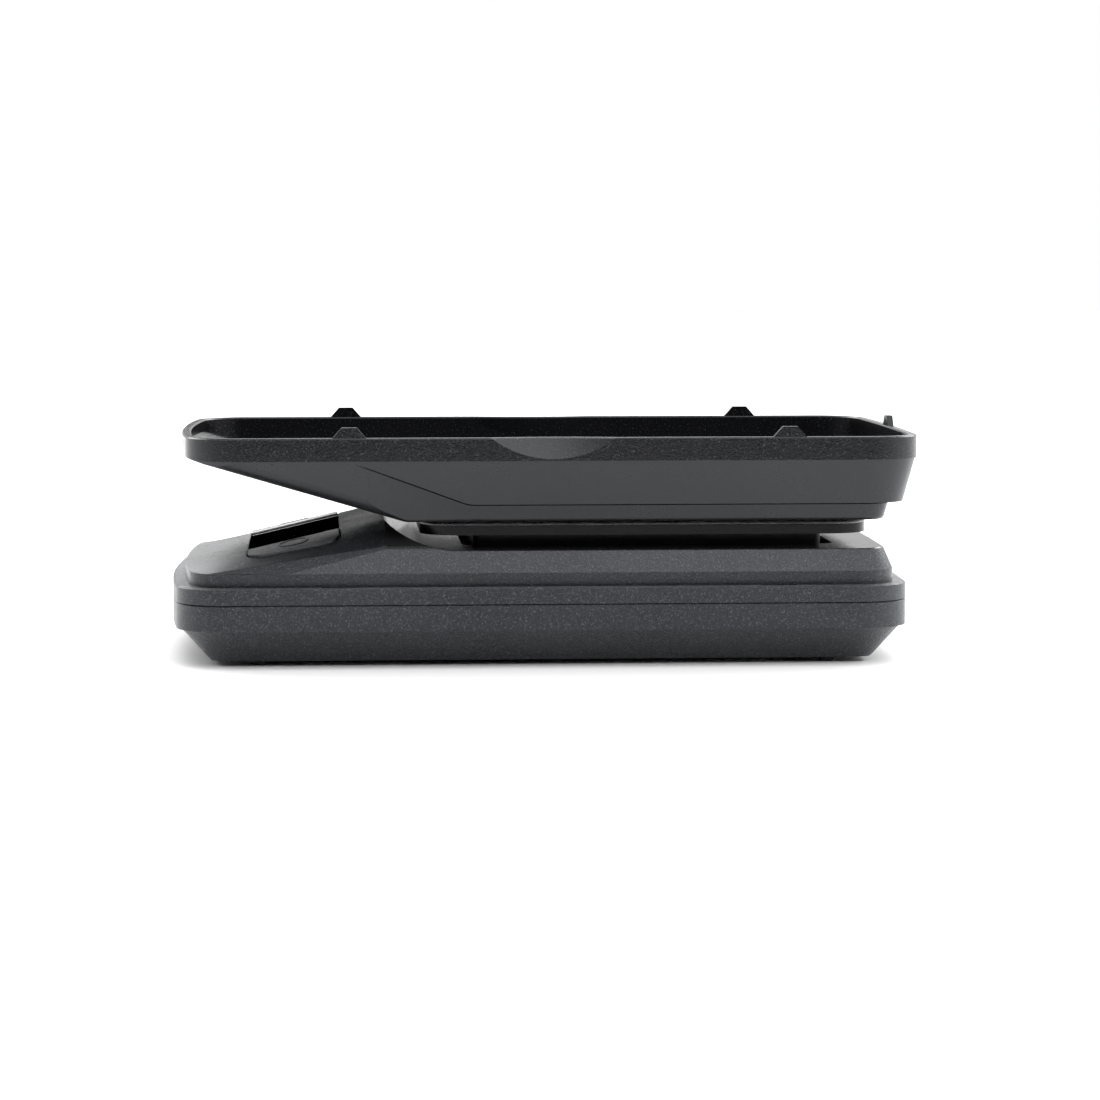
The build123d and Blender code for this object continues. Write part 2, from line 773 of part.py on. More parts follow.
with BuildPart() as gauge_sealant:
    with BuildSketch(case_level(cell_top_z + gauge_thickness)):
        with Locations((pan_x, 0)):
            RectangleRounded(sealant_length, sealant_width, 1.5)
    extrude(amount=sealant_height)
gauge_sealant.part.label = "gauge_sealant"
export_step(gauge_sealant.part, "parts/gauge_sealant.step")

with BuildPart() as cell_fixed_screws:
    with BuildSketch(case_level(counterbore_z - screw_head_height)):
        for offset_x in (-cell_hole_spacing / 2, cell_hole_spacing / 2):
            with Locations((fixed_end_x + offset_x, 0)):
                Circle(screw_head_radius)
    extrude(amount=screw_head_height)
    with BuildSketch(case_level(counterbore_z)):
        for offset_x in (-cell_hole_spacing / 2, cell_hole_spacing / 2):
            with Locations((fixed_end_x + offset_x, 0)):
                Circle(screw_radius)
    extrude(amount=cell_top_z - screw_tip_gap - counterbore_z)
cell_fixed_screws.part.label = "cell_fixed_screws"
export_step(cell_fixed_screws.part, "parts/cell_fixed_screws.step")

hub_seat_z = cell_top_z + 3.0

with BuildPart() as cell_free_screws:
    with BuildSketch(case_level(hub_seat_z)):
        for offset_x in (-cell_hole_spacing / 2, cell_hole_spacing / 2):
            with Locations((free_end_x + offset_x, 0)):
                Circle(screw_head_radius)
    extrude(amount=screw_head_height)
    with BuildSketch(case_level(cell_bottom_z + screw_tip_gap)):
        for offset_x in (-cell_hole_spacing / 2, cell_hole_spacing / 2):
            with Locations((free_end_x + offset_x, 0)):
                Circle(screw_radius)
    extrude(amount=hub_seat_z - cell_bottom_z - screw_tip_gap)
cell_free_screws.part.label = "cell_free_screws"
export_step(cell_free_screws.part, "parts/cell_free_screws.step")

# ---------------------------------------------------------------- pan and carrier
with BuildPart() as weighing_pan:
    with BuildSketch(case_level(pan_bottom_z)):
        with Locations((pan_x, 0)):
            RectangleRounded(pan_length, pan_width, pan_corner)
    extrude(amount=pan_height)
    fillet(weighing_pan.faces().sort_by(Axis.Z)[-1].edges(), pan_edge_round)
    with BuildSketch(case_level(pan_bottom_z)):
        with Locations((pan_x, 0)):
            RectangleRounded(
                pan_length - 2 * pan_sheet,
                pan_width - 2 * pan_sheet,
                pan_corner - pan_sheet,
            )
    extrude(amount=pan_height - pan_sheet, mode=Mode.SUBTRACT)
weighing_pan.part.label = "weighing_pan"
export_step(weighing_pan.part, "parts/weighing_pan.step")

tape_bottom_z = pan_top_z - pan_sheet - tape_thickness
carrier_gap = pan_sheet + 0.15
block_bottom_z = well_floor_z + 0.9
block_length = well_length - 2 * well_clearance
block_width = well_width - 2 * well_clearance

with BuildPart() as pan_tape:
    with BuildSketch(case_level(tape_bottom_z)):
        for side in (-1, 1):
            with Locations((pan_x, side * pan_width / 4)):
                Rectangle(pan_length - 20.0, 8.0)
    extrude(amount=tape_thickness)
pan_tape.part.label = "pan_tape"
export_step(pan_tape.part, "parts/pan_tape.step")

with BuildPart() as pan_carrier:
    with BuildSketch(case_level(tape_bottom_z - carrier_plate)):
        with Locations((pan_x, 0)):
            RectangleRounded(
                pan_length - 2 * carrier_gap,
                pan_width - 2 * carrier_gap,
                pan_corner - carrier_gap,
            )
    extrude(amount=carrier_plate)
    with BuildSketch(case_level(block_bottom_z)):
        with Locations((well_x, 0)):
            RectangleRounded(block_length, block_width, 1.2)
            Rectangle(block_length - 3.0, block_width - 3.0, mode=Mode.SUBTRACT)
            for rib in range(1, 5):
                with Locations((rib * block_length / 5 - block_length / 2, 0)):
                    Rectangle(1.2, block_width - 2.0)
            Rectangle(block_length - 2.0, 1.2)
        with Locations((free_end_x, 0)):
            Rectangle(hub_length, hub_width)
    extrude(amount=tape_bottom_z - carrier_plate - block_bottom_z)
    with BuildSketch(case_level(cell_top_z)):
        with Locations((free_end_x, 0)):
            Rectangle(hub_length, hub_width)
    extrude(amount=block_bottom_z - cell_top_z)
    with BuildSketch(case_level(cell_top_z)):
        for offset_x in (-cell_hole_spacing / 2, cell_hole_spacing / 2):
            with Locations((free_end_x + offset_x, 0)):
                Circle(screw_radius + screw_play)
    extrude(amount=pan_top_z - cell_top_z, mode=Mode.SUBTRACT)
    with BuildSketch(case_level(hub_seat_z)):
        for offset_x in (-cell_hole_spacing / 2, cell_hole_spacing / 2):
            with Locations((free_end_x + offset_x, 0)):
                Circle(screw_head_radius + head_play)
    extrude(amount=pan_top_z - hub_seat_z, mode=Mode.SUBTRACT)
pan_carrier.part.label = "pan_carrier"
export_step(pan_carrier.part, "parts/pan_carrier.step")

# ---------------------------------------------------------------- batteries and door
with BuildPart() as battery_door:
    with BuildSketch(case_level(foot_height)):
        with Locations(((door_cut_left + door_right_x) / 2, 0)):
            Rectangle(door_right_x - door_cut_left, 2 * door_half_width)
    extrude(amount=floor_z - foot_height)
    with BuildSketch(case_level(tongue_z)):
        with Locations(((bay_left_x + door_right_x) / 2, 0)):
            Rectangle(door_right_x - bay_left_x, 2 * (door_half_width + door_tongue))
    extrude(amount=floor_z - tongue_z)
    add(bottom_outer, mode=Mode.INTERSECT)
    # Finger grip grooves
    with BuildSketch(case_level(foot_height)):
        for groove in range(5):
            with Locations((battery_x + (groove - 3) * grip_spacing, 0)):
                Rectangle(grip_groove, grip_width)
    extrude(amount=grip_depth, mode=Mode.SUBTRACT)
battery_door.part.label = "battery_door"
export_step(battery_door.part, "parts/battery_door.step")

for number, side in ((1, -1), (2, 1)):
    end_plane = Plane(
        origin=(case_x + battery_x + side * battery_pitch / 2, side * battery_length / 2, battery_z),
        x_dir=(1, 0, 0),
        z_dir=(0, -side, 0),
    )
    with BuildPart() as battery_cell:
        with BuildSketch(end_plane):
            Circle(battery_nub_radius)
        extrude(amount=battery_nub)
        with BuildSketch(end_plane.offset(battery_nub)):
            Circle(battery_radius)
        extrude(amount=battery_length - battery_nub)
        round_edges = battery_cell.edges().filter_by(GeomType.CIRCLE).sort_by(Axis.Y)
        fillet(round_edges[0 if side == 1 else -1], battery_edge_round)
    battery_cell.part.label = "battery_cell_" + str(number)
    export_step(battery_cell.part, "parts/battery_cell_" + str(number) + ".step")

contact_bottom_z = floor_z + 1.2
contact_height = battery_z + contact_bow - contact_bottom_z


def contact_strip(wall_side, centre_x, width):
    """Upright contact plate against one end wall of the battery bay."""
    y = wall_side * (bay_half_width - contact_sheet / 2 - 0.1)
    with BuildSketch(case_level(contact_bottom_z)) as strip:
        with Locations((centre_x, y)):
            Rectangle(width, contact_sheet)
    extrude(strip.sketch, amount=contact_height)


def contact_leaf(wall_side, centre_x, reach):
    """Sprung leaf folded out of the plate, bowed towards the battery's flat end."""
    back_y = bay_half_width - contact_sheet - 0.1
    leaf_plane = Plane(origin=(case_x + centre_x, 0, 0), x_dir=(0, wall_side, 0), z_dir=(wall_side, 0, 0))
    bottom = battery_z - contact_bow
    top = battery_z + contact_bow
    with BuildSketch(leaf_plane) as leaf:
        with BuildLine():
            outer = ThreePointArc((back_y, bottom), (back_y - reach, battery_z), (back_y, top))
            inner = ThreePointArc(
                (back_y, bottom + contact_sheet),
                (back_y - reach + contact_sheet, battery_z),
                (back_y, top - contact_sheet),
            )
            Line(outer @ 0, inner @ 0)
            Line(outer @ 1, inner @ 1)
        make_face()
    extrude(leaf.sketch, amount=1.5, both=True)


cell_end_gap = bay_half_width - contact_sheet - 0.1 - battery_length / 2
left_cell_x = battery_x - battery_pitch / 2
right_cell_x = battery_x + battery_pitch / 2

with BuildPart() as battery_link_contact:
    contact_strip(1, battery_x, battery_pitch + contact_width)
    contact_leaf(1, left_cell_x, cell_end_gap - rest_gap)
    contact_leaf(1, right_cell_x, cell_end_gap - rest_gap)
battery_link_contact.part.label = "battery_link_contact"
export_step(battery_link_contact.part, "parts/battery_link_contact.step")

with BuildPart() as battery_positive_contact:
    contact_strip(-1, left_cell_x, contact_width)
    contact_leaf(-1, left_cell_x, cell_end_gap - rest_gap)
battery_positive_contact.part.label = "battery_positive_contact"
export_step(battery_positive_contact.part, "parts/battery_positive_contact.step")

with BuildPart() as battery_negative_contact:
    contact_strip(-1, right_cell_x, contact_width)
    contact_leaf(-1, right_cell_x, cell_end_gap - rest_gap)
battery_negative_contact.part.label = "battery_negative_contact"
export_step(battery_negative_contact.part, "parts/battery_negative_contact.step")

# ---------------------------------------------------------------- leads
board_back_z = -board_back - fit_gap
lead_y = bay_half_width - contact_sheet - 0.05


def panel_point(u, v, w):
    """Place in space of a point given along, across and above the panel's plane."""
    return panel_plane.from_local_coords(Vector(u, v, w))


positive_end = panel_point(-5.0, -lead_y, board_back_z)
negative_end = panel_point(0.5, -lead_y, board_back_z)

with BuildPart() as battery_leads:
    start = Vector(case_x + left_cell_x, -lead_y, contact_bottom_z + contact_height)
    with BuildLine() as positive_path:
        FilletPolyline(start, start + (0, 0, 1.6), positive_end - (0, 0, 1.2), positive_end, radius=0.5)
    with BuildSketch(Plane(origin=start, z_dir=(0, 0, 1))):
        Circle(lead_radius)
    sweep(path=positive_path.wires()[0])
    start = Vector(negative_end.X, -lead_y, contact_bottom_z + contact_height)
    with BuildSketch(Plane(origin=start, z_dir=(0, 0, 1))):
        Circle(lead_radius)
    extrude(amount=negative_end.Z - start.Z)
battery_leads.part.label = "battery_leads"
export_step(battery_leads.part, "parts/battery_leads.step")

lead_lane_y = hub_width / 2 + well_clearance + 1.5
sensor_z = cell_top_z + gauge_thickness + 0.35
sensor_start = Vector(case_x + pan_x - 4.0, sealant_width / 2, sensor_z)
sensor_end = panel_point(board_screw_u - 5.0, lead_lane_y, board_back_z)

with BuildPart() as sensor_lead:
    with BuildLine() as sensor_path:
        FilletPolyline(
            sensor_start,
            Vector(sensor_start.X, lead_lane_y, sensor_z),
            Vector(sensor_end.X, lead_lane_y, sensor_z),
            sensor_end,
            radius=1.0,
        )
    with BuildSketch(Plane(origin=sensor_start, z_dir=(0, 1, 0))):
        Circle(lead_radius)
    sweep(path=sensor_path.wires()[0])
sensor_lead.part.label = "sensor_lead"
export_step(sensor_lead.part, "parts/sensor_lead.step")

# ---------------------------------------------------------------- case screws and feet
with BuildPart() as case_screws:
    with BuildSketch(case_level(counterbore_z - screw_head_height)):
        with Locations(*case_screw_places):
            Circle(screw_head_radius)
    extrude(amount=screw_head_height)
    with BuildSketch(case_level(counterbore_z)):
        with Locations(*case_screw_places):
            Circle(screw_radius)
    extrude(amount=case_screw_length)
case_screws.part.label = "case_screws"
export_step(case_screws.part, "parts/case_screws.step")

for number, place in enumerate(foot_places, start=1):
    with BuildPart() as foot:
        with BuildSketch(case_level(foot_height)):
            with Locations(place):
                Circle(plug_radius)
        extrude(amount=plug_height)
        with BuildSketch(case_level(0)):
            with Locations(place):
                Circle(foot_radius)
        extrude(amount=foot_height)
        chamfer(foot.edges().sort_by(Axis.Z)[0], foot_chamfer)
    foot.part.label = "foot_" + str(number)
    export_step(foot.part, "parts/foot_" + str(number) + ".step")

# ---------------------------------------------------------------- protective cover
cover_slope_x = -cover_length / 2 + cover_slope_from_end
tier_full_x = cover_slope_x + tier_flare_end
tier_start_x = tier_full_x - tier_flare
step_foot_x = cover_slope_x + step_foot
step_head_x = cover_slope_x - step_head
band_z = rim_z - cover_band
step_z = cover_bottom_z + cover_tier
slope_rise = math.tan(math.radians(cover_slope))


def tier_plan(inset, undercut):
    """Outline of the cover's raised tier; its sides flare out towards the display end."""
    half_length = cover_length / 2 - inset - undercut
    half_width = cover_width / 2 - inset - undercut
    right_x = half_length - weighing_end_bow
    flare_y = cover_width / 2 - inset + tier_flare_width
    with BuildSketch(mode=Mode.PRIVATE) as plan:
        with BuildLine():
            Line((tier_full_x, half_width), (tier_start_x, flare_y))
            Line((tier_start_x, flare_y), (-cover_length, flare_y))
            Line((-cover_length, flare_y), (-cover_length, -flare_y))
            Line((-cover_length, -flare_y), (tier_start_x, -flare_y))
            Line((tier_start_x, -flare_y), (tier_full_x, -half_width))
            Line((tier_full_x, -half_width), (right_x, -half_width))
            ThreePointArc((right_x, -half_width), (half_length, 0), (right_x, half_width))
            Line((right_x, half_width), (tier_full_x, half_width))
        make_face()
        bends = plan.vertices().filter_by_position(Axis.X, tier_full_x - 0.1, tier_full_x + 0.1)
        fillet(bends, tier_bend_round)
        fillet(plan.vertices().group_by(Axis.X)[-1], max(corner_radius - inset, least_corner))
    add(plan.sketch)


def tier_body(inset, undercut=0.0):
    """The cover's raised tier, drafted like the walls past the step, its bottom edge rounded."""
    draft = draft_bottom_inset - draft_top_inset
    with BuildPart() as tier:
        with BuildSketch(cover_level(cover_bottom_z)):
            tier_plan(tier_bottom_inset + inset, undercut)
        with BuildSketch(cover_level(band_z)):
            tier_plan(tier_bottom_inset - draft + inset, undercut)
        loft(ruled=True)
        fillet(tier.faces().sort_by(Axis.Z)[0].outer_wire().edges(), tier_edge_round)
        extrude(tier.faces().sort_by(Axis.Z)[-1], amount=cover_depth)
    return tier.part


def below_step(drop, shrink):
    """Everything under the step line, which is level over the tier and climbs to the rim band."""
    far_x = -cover_length
    rise = (band_z - step_head_below_band - step_z) / (step_foot_x - step_head_x)
    step_x = step_foot_x + shrink * math.tan(math.atan(rise) / 2)
    step = step_z + shrink - drop
    below = cover_bottom_z - cover_depth
    with BuildPart() as region:
        with BuildSketch(side_plane(cover_x)):
            with BuildLine():
                Polyline(
                    (far_x, step + (step_x - far_x) * rise),
                    (step_x, step),
                    (cover_length, step),
                    (cover_length, below),
                    (far_x, below),
                    close=True,
                )
            make_face()
            fillet(vertices().sort_by_distance((step_x, step))[0], groove_blend)
        extrude(amount=cover_width, both=True)
    return region.part


def side_rounding(shrink, bottom, slope_foot_x):
    """Two cutters that round the cover's long lower edges, up the slope and along the bottom."""
    radius = cover_side_round - shrink
    draft = (draft_bottom_inset - draft_top_inset) / (band_z - bottom)
    lean_angle = math.atan(draft)
    corner_y = cover_width / 2 - draft_bottom_inset - shrink
    reach = radius * math.tan((math.pi / 2 - lean_angle) / 2)
    wall_y = corner_y + reach * math.sin(lean_angle)
    wall_z = bottom + reach * math.cos(lean_angle)
    run = cover_length / 2
    with BuildPart() as cutters:
        for side in (-1, 1):
            with BuildSketch(section_plane(cover_x - case_x + slope_foot_x)) as spandrel:
                with BuildLine():
                    edge = TangentArc(
                        (side * (corner_y - reach), bottom), (side * wall_y, wall_z), tangent=(side, 0)
                    )
                    Polyline(
                        edge @ 1,
                        (side * (wall_y + 1), wall_z),
                        (side * (wall_y + 1), bottom - 1),
                        (side * (corner_y - reach), bottom - 1),
                        edge @ 0,
                    )
                make_face()
            extrude(amount=cover_length)
            extrude(spandrel.sketch, amount=run, dir=(-1, side * draft * slope_rise, slope_rise))
    return cutters.part


def cover_form(shrink, top_z):
    """The cover as one solid, upside down, every face drawn in by shrink."""
    bottom = cover_bottom_z + shrink
    slope_foot_x = cover_slope_x + shrink * math.tan(math.radians(cover_slope / 2))
    far_x = -cover_length
    far_z = bottom - (far_x - slope_foot_x) * slope_rise
    below = cover_bottom_z - cover_depth
    with BuildPart() as groove:
        add(below_step(0, shrink))
        add(tier_body(shrink), mode=Mode.SUBTRACT)
    with BuildPart() as form:
        with BuildSketch(cover_level(bottom)):
            cover_plan(draft_bottom_inset + shrink)
        with BuildSketch(cover_level(band_z)):
            cover_plan(draft_top_inset + shrink)
        loft(ruled=True)
        add(side_rounding(shrink, bottom, slope_foot_x), mode=Mode.SUBTRACT)
        add(groove.part, mode=Mode.SUBTRACT)
        with BuildSketch(cover_level(band_z)):
            cover_plan(shrink)
        extrude(amount=top_z - band_z)
        with BuildSketch(side_plane(cover_x)):
            with BuildLine():
                Polyline(
                    (far_x, far_z),
                    (slope_foot_x, bottom),
                    (cover_length, bottom),
                    (cover_length, below),
                    (far_x, below),
                    close=True,
                )
            make_face()
            fillet(vertices().sort_by_distance((slope_foot_x, bottom))[0], slope_blend)
        extrude(amount=cover_width, both=True, mode=Mode.SUBTRACT)
    return form.part


scoop_arc = ((scoop_width / 2) ** 2 + scoop_drop**2) / (2 * scoop_drop)
scoop_reach = math.sqrt(scoop_ball**2 - scoop_arc**2)
scoop_z = rim_z + scoop_arc - scoop_drop
scoop_places = [
    (cover_x, side * (cover_width / 2 + scoop_reach), scoop_z) for side in (-1, 1)
]
cover_outside = cover_form(0, rim_z)
cover_inside = cover_form(cover_wall, rim_z + 2)


def tab_outline(centre):
    """Upright outline of a rim tab: a low trapezoid rooted in the wall."""
    with BuildSketch(mode=Mode.PRIVATE) as tab:
        with BuildLine():
            Polyline(
                (centre - tab_base / 2, rim_z - tab_root),
                (centre - tab_base / 2, rim_z),
                (centre - tab_top / 2, rim_z + tab_height),
                (centre + tab_top / 2, rim_z + tab_height),
                (centre + tab_base / 2, rim_z),
                (centre + tab_base / 2, rim_z - tab_root),
                close=True,
            )
        make_face()
    add(tab.sketch)


with BuildPart() as cover_hollow:
    add(cover_inside)
    with Locations(*scoop_places):
        Sphere(scoop_ball + scoop_wall, mode=Mode.SUBTRACT)

with BuildPart() as shadow_slot:
    add(below_step(0, 0))
    add(below_step(step_slot, 0), mode=Mode.SUBTRACT)
    add(tier_body(0, step_slot_depth), mode=Mode.SUBTRACT)

with BuildPart() as protective_cover:
    add(cover_outside)
    add(shadow_slot.part, mode=Mode.SUBTRACT)
    with Locations(*scoop_places):
        Sphere(scoop_ball, mode=Mode.SUBTRACT)
    add(cover_hollow.part, mode=Mode.SUBTRACT)
    rim_edges = protective_cover.edges().filter_by_position(Axis.Z, rim_z - 0.01, rim_z + 0.01)
    chamfer(rim_edges.filter_by(lambda edge: edge.length > cover_wall + 0.5), cover_rim_chamfer)
    # Tabs on the rim that drop into the ledge's slots when the cover is closed
    for side in (-1, 1):
        side_face = cover_width / 2 - tab_inset
        with BuildSketch(side_plane(cover_x).offset(-side * side_face)):
            for tab_x in (tab_left_x, tab_right_x):
                tab_outline(tab_x)
        extrude(amount=side * tab_thickness)
    with BuildSketch(section_plane(cover_x - case_x + cover_length / 2 - tab_inset)):
        tab_outline(0)
    extrude(amount=-tab_thickness)
protective_cover.part.label = "protective_cover"
export_step(protective_cover.part, "parts/protective_cover.step")
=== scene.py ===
"""Looks of the digital gram scale: finishes for the CAD pieces, studio light and the camera."""

import json
import math

import bpy
from mathutils import Euler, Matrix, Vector


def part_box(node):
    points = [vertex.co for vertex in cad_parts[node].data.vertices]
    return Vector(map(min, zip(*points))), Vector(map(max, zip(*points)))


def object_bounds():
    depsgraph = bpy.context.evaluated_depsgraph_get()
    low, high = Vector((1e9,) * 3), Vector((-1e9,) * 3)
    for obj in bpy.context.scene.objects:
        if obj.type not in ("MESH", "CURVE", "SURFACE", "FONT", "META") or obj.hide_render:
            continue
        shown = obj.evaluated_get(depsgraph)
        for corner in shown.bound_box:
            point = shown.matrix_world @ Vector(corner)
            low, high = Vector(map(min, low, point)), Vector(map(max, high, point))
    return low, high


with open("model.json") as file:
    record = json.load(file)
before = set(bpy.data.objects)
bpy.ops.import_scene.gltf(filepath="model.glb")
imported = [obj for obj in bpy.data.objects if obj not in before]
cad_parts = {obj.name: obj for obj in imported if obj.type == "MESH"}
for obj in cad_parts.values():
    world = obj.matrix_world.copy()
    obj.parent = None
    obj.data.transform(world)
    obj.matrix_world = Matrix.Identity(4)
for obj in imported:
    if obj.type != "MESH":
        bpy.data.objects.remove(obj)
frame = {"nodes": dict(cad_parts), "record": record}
cad_low, cad_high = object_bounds()

MM = 0.001

# ---------------------------------------------------------------- camera
CAMERA_PLACE = Vector((-39.5, -643.5, 73.65)) * MM
CAMERA_YAW = math.radians(-3.75)
CAMERA_PITCH = math.radians(5.0)
LENS_MM = 115.5
SENSOR_MM = 36.0
CLIP_NEAR = 0.01
CLIP_FAR = 20.0

# ---------------------------------------------------------------- light
# The spans below are stretches of a direction's X (right), Y (ahead) or Z (up), each from -1 to 1.
SKY_BRIGHT = 0.75
SKY_FRONT = 0.03
FRONT_AHEAD = (-0.75, -0.1)
FRONT_UP = (0.2, 0.5)
FLAG_LEFT = (-0.08, -0.065)
FLAG_RIGHT = (-0.025, -0.01)
FLAG_AHEAD = (0.8, 0.9)
FLAG_TOP = (0.2, 0.24)
BACK_BOX = 4.6
BACK_BOX_AHEAD = (0.35, 0.5)
BACK_BOX_FOOT = (0.28, 0.36)
BACK_BOX_TOP = (0.75, 0.85)
FRONT_BOX = 2.6
FRONT_BOX_LEFT_SHARE = 0.1
FRONT_BOX_RIGHT = (-0.3, 0.05)
FRONT_BOX_AHEAD = (-0.5, -0.35)
FRONT_BOX_UP = (0.4, 0.6)
SIDE_BOX = 1.2
SIDE_BOX_RIGHT = (0.4, 0.7)
SIDE_BOX_UP = (0.02, 0.1)
OVERHEAD_PLACE = (0, 0.05, 0.8)
OVERHEAD_SIZE = 0.9
OVERHEAD_POWER = 3.0

# ---------------------------------------------------------------- floor
FLOOR_SIZE = 6.0
FLOOR_FRONT = -0.42
FLOOR_GAP = 0.05 * MM
FLOOR_DARK = (0.90, 0.90, 0.90)
FLOOR_LIGHT = (0.93, 0.93, 0.93)
FLOOR_MOTTLE = 0.4

# ---------------------------------------------------------------- finishes
# Noise runs from 0 to 1; a SPAN is the stretch of it that a finish spreads from none to full.
# The pairs called ROUGH are the roughness at the two ends; GRAIN_ROUGH is what grain adds.
NOISE_MIDDLE = (0.3, 0.7)
GRAIN_SPAN = (0.42, 0.68)
CASE_GRAIN = 0.4 * MM
CASE_COARSE_GRAIN = 0.55 * MM
CASE_DARK = (0.001, 0.0012, 0.0016)
CASE_LIGHT = (0.022, 0.0238, 0.0285)
CASE_SPECK = (0.085, 0.09, 0.105)
CASE_SPECK_GRAIN = 0.3 * MM
CASE_SPECK_SPAN = (0.55, 0.72)
CASE_DUST = (0.036, 0.0385, 0.046)
CASE_DUST_PATCH = 22 * MM
CASE_DUST_SPAN = (0.35, 0.75)
CASE_DUST_SHARE = 0.2
CASE_TINT = (0.92, 0.955, 1.0, 1.0)
CASE_CLOUD = 14 * MM
CASE_ROUGH = (0.27, 0.35)
CASE_GRAIN_ROUGH = (0.05, -0.08)
CASE_RELIEF = 0.022 * MM
CASE_WAVE = 9 * MM
CASE_WAVE_DEPTH = 0.03 * MM
RECESS_GREY = (0.016, 0.016, 0.017)
RECESS_POLISH = 0.4
RECESS_RELIEF = 0.05
COVER_GRAIN = 0.35 * MM
COVER_SATIN_DARK = (0.011, 0.0115, 0.013)
COVER_SATIN_LIGHT = (0.016, 0.0165, 0.019)
COVER_BAND_DARK = (0.0008, 0.0009, 0.0012)
COVER_BAND_LIGHT = (0.008, 0.0083, 0.0095)
COVER_SPECK = (0.06, 0.062, 0.07)
COVER_SPECK_SPAN = (0.62, 0.74)
COVER_TINT = (0.94, 0.96, 1.0, 1.0)
COVER_IOR = 1.45
COVER_CLOUD = 18 * MM
COVER_ROUGH = (0.26, 0.34)
COVER_GRAIN_ROUGH = (0.02, -0.03)
COVER_RELIEF = 0.014 * MM
BAND_POLISH = 0.62
SATIN_RELIEF = 0.1
KEY_GRAIN = 0.25 * MM
KEY_DARK = (0.014, 0.0148, 0.017)
KEY_LIGHT = (0.03, 0.032, 0.037)
KEY_CLOUD = 7 * MM
KEY_ROUGH = (0.22, 0.25)
KEY_RELIEF = 0.005 * MM
LENS_CLOUD = 8 * MM
LENS_DARK = (0.002, 0.002, 0.0025)
LENS_LIGHT = (0.003, 0.003, 0.0035)
LENS_ROUGH = (0.02, 0.03)
SCRATCH_WIDTH = 0.12 * MM
SCRATCHED_ALONG_X = (0.02, 1.0, 1.0)
STEEL_DARK = (0.3, 0.3, 0.3)
STEEL_LIGHT = (0.46, 0.455, 0.45)
# Painted shade: near-black colours for the pan's turned-down steel skirt, in place of the steel's
# own.
SKIRT_PAINTED_SHADE_DARK = (0.014, 0.014, 0.0145)
SKIRT_PAINTED_SHADE_LIGHT = (0.022, 0.022, 0.023)
STEEL_ROUGH = (0.2, 0.36)
STEEL_RELIEF = 0.0015 * MM
PEEL_SIZE = 6 * MM
PEEL_COAT = 0.6
PEEL_COAT_ROUGH = 0.04
POWDER_GRAIN = 0.2 * MM
POWDER_SPAN = (0.35, 0.65)
POWDER_ROUGH = (0.75, 0.9)
WEAVE_GRAIN = 0.5 * MM
WEAVE_SPAN = (0.15, 0.35)
WEAVE_ROUGH = (0.3, 0.42)

# ---------------------------------------------------------------- places taken from the frame
lens_right_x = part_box("lcd_lens")[1][0]
pan_low, pan_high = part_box("weighing_pan")
recess_x = lens_right_x + 8.4 * MM
recess_half = 33.8 * MM
recess_z = pan_low[2] - 2.35 * MM
recess_end_fade = 1.0 * MM
recess_side_fade = 0.4 * MM
recess_foot_fade = 0.1 * MM
# Height below which the pan's steel skirt gets painted shade colours.
painted_shade_skirt_z = pan_high[2] - 0.75 * MM
painted_shade_fade = 0.1 * MM
rim_tabs = 1.8 * MM
band_height = 4.0 * MM
band_fade = 0.05 * MM
cover_band_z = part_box("protective_cover")[1][2] - rim_tabs - band_height


class Shading:
    """Shorthand for putting a tree of shading nodes together."""

    def __init__(self, tree):
        self.tree = tree

    def node(self, kind, **settings):
        made = self.tree.nodes.new(kind)
        for key, value in settings.items():
            setattr(made, key, value)
        return made

    def feed(self, socket, value):
        """Sets a socket from a number, a colour or another node's output."""
        if isinstance(value, bpy.types.NodeSocket):
            self.tree.links.new(value, socket)
        else:
            socket.default_value = value

    def split(self, vector):
        """The X, Y and Z of a vector."""
        made = self.node("ShaderNodeSeparateXYZ")
        self.feed(made.inputs["Vector"], vector)
        return made.outputs

    def remap(self, value, low, high, to_low=0.0, to_high=1.0):
        """A straight run from to_low to to_high as value goes from low to high."""
        made = self.node("ShaderNodeMapRange")
        self.feed(made.inputs["Value"], value)
        made.inputs["From Min"].default_value = low
        made.inputs["From Max"].default_value = high
        made.inputs["To Min"].default_value = to_low
        made.inputs["To Max"].default_value = to_high
        return made.outputs["Result"]

    def between(self, share, at_none, at_full):
        """A number running from at_none to at_full as share goes from 0 to 1."""
        return self.remap(share, 0.0, 1.0, at_none, at_full)

    def falling(self, value, span):
        """1 below the span, 0 above it."""
        return self.remap(value, *span, 1.0, 0.0)

    def maths(self, operation, first, second):
        made = self.node("ShaderNodeMath", operation=operation)
        for socket, value in zip(made.inputs, (first, second)):
            self.feed(socket, value)
        return made.outputs["Value"]

    def product(self, first, *others):
        for other in others:
            first = self.maths("MULTIPLY", first, other)
        return first

    def total(self, first, *others):
        for other in others:
            first = self.maths("ADD", first, other)
        return first


